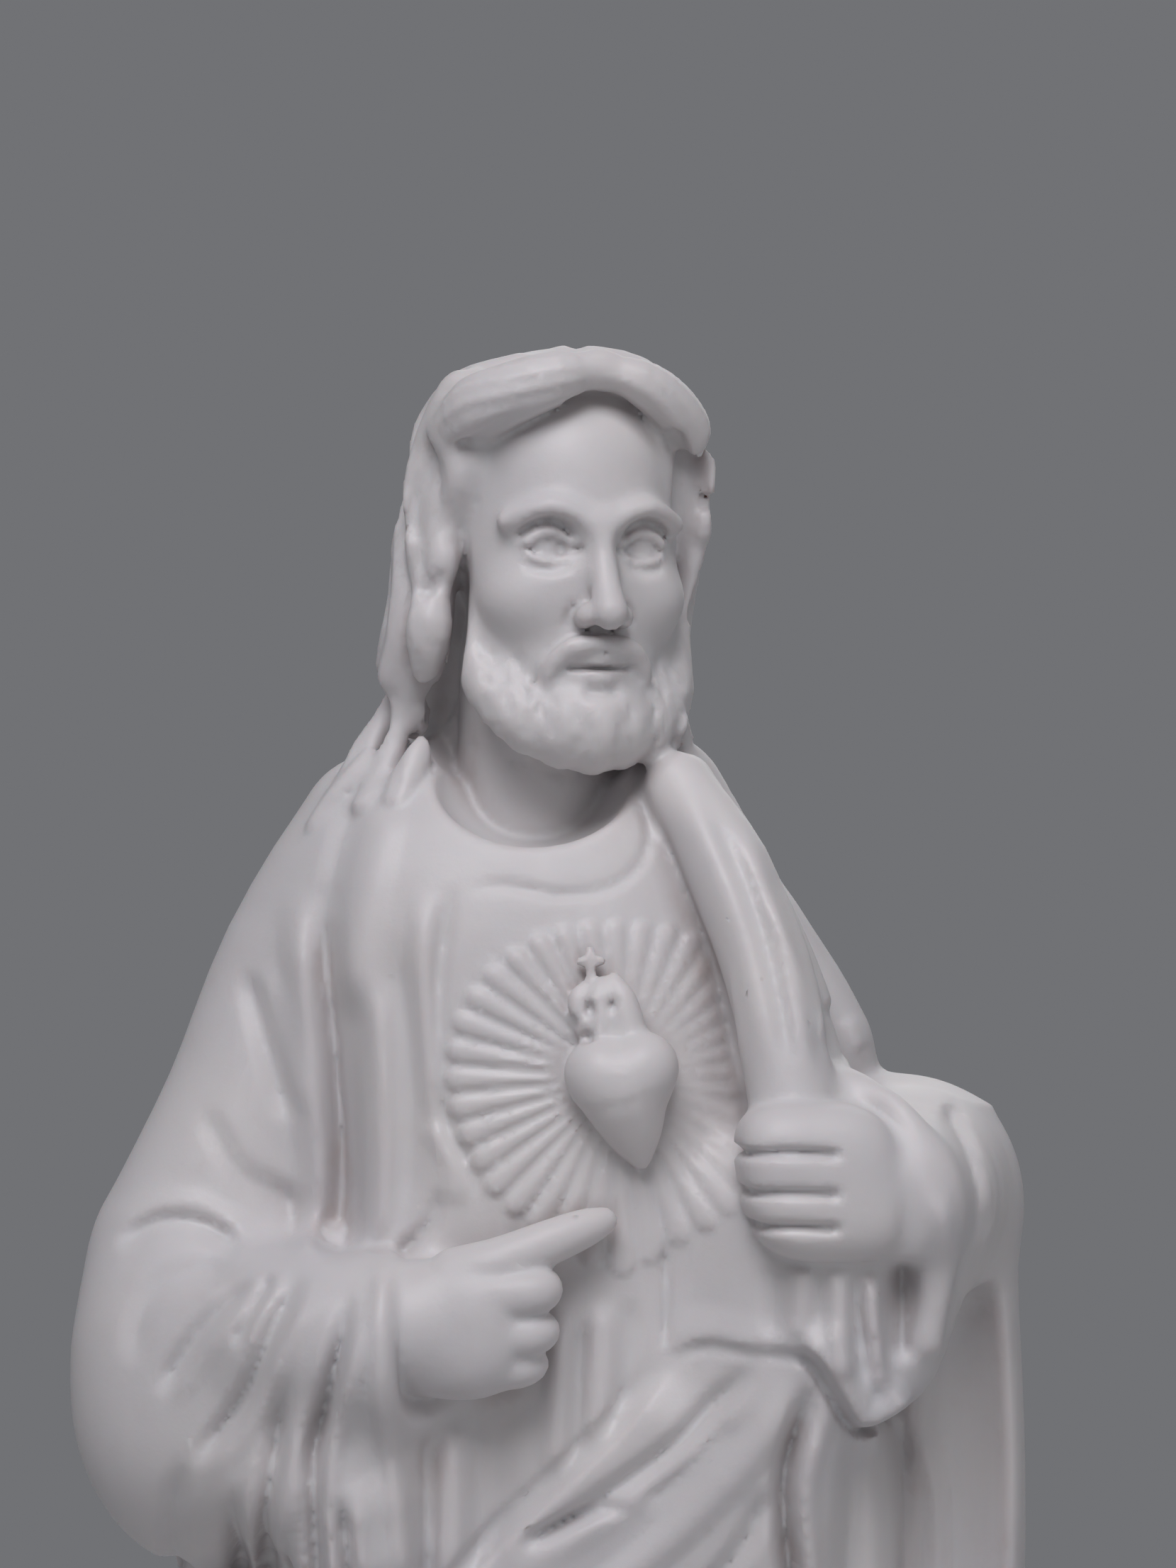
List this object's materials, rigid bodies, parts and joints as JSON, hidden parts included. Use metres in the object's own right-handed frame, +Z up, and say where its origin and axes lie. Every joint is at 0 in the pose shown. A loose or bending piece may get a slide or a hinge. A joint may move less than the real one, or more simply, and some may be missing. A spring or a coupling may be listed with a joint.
{
  "type": "jesus statue",
  "caption": "Standing robed, bearded figure pointing to a heart with rays on the chest, one fist holding the mantle, on a low oval base.",
  "frame": {"origin": "centre of the oval base's underside", "axes": "+Z up through the figure, -Y is where the figure's chest faces, +X is to the right of someone facing it"},
  "size_m": [0.0932, 0.0744, 0.2994],
  "materials": {
    "cast_marble": "satin white cast marble"
  },
  "bodies": {
    "root": {"robed_figure": "cast_marble"}
  },
  "joints": []
}
